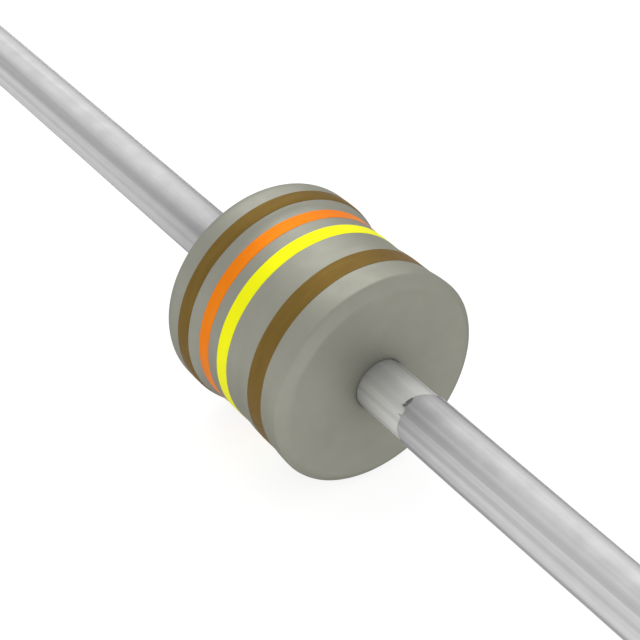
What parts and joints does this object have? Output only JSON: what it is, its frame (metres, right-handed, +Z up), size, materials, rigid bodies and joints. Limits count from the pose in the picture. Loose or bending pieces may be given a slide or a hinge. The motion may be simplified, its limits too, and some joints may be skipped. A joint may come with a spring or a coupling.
{
  "type": "axial resistor",
  "caption": "Axial film resistor: short grey lacquered body with brown, orange, yellow and brown bands on straight tinned wire leads.",
  "frame": {"origin": "middle of the body, on the axis of the leads", "axes": "+X along the leads, towards the end with the tolerance band; +Z up; the object keeps the frame it is mounted in"},
  "size_m": [0.026, 0.0026, 0.0026],
  "materials": {
    "ceramic": "fired alumina, matt white",
    "film": "thin dark resistive film, satin",
    "cap_steel": "pressed and tin-plated, satin",
    "bare_wire": "drawn, thinly plated copper wire, satin",
    "tin": "dipped tin, bright, with lengthwise streaks",
    "lacquer": "grey lacquer, semi-gloss",
    "brown_paint": "printed paint, semi-matt",
    "orange_paint": "printed paint, semi-matt",
    "yellow_paint": "printed paint, semi-matt"
  },
  "bodies": {
    "root": {"rear_tin_coat": "tin", "front_tin_coat": "tin", "ceramic_core": "ceramic", "resistive_film": "film", "rear_cap": "cap_steel", "front_cap": "cap_steel", "rear_lead": "bare_wire", "front_lead": "bare_wire", "lacquer_coating": "lacquer", "first_digit_band": "brown_paint", "second_digit_band": "orange_paint", "multiplier_band": "yellow_paint", "tolerance_band": "brown_paint"}
  },
  "joints": []
}
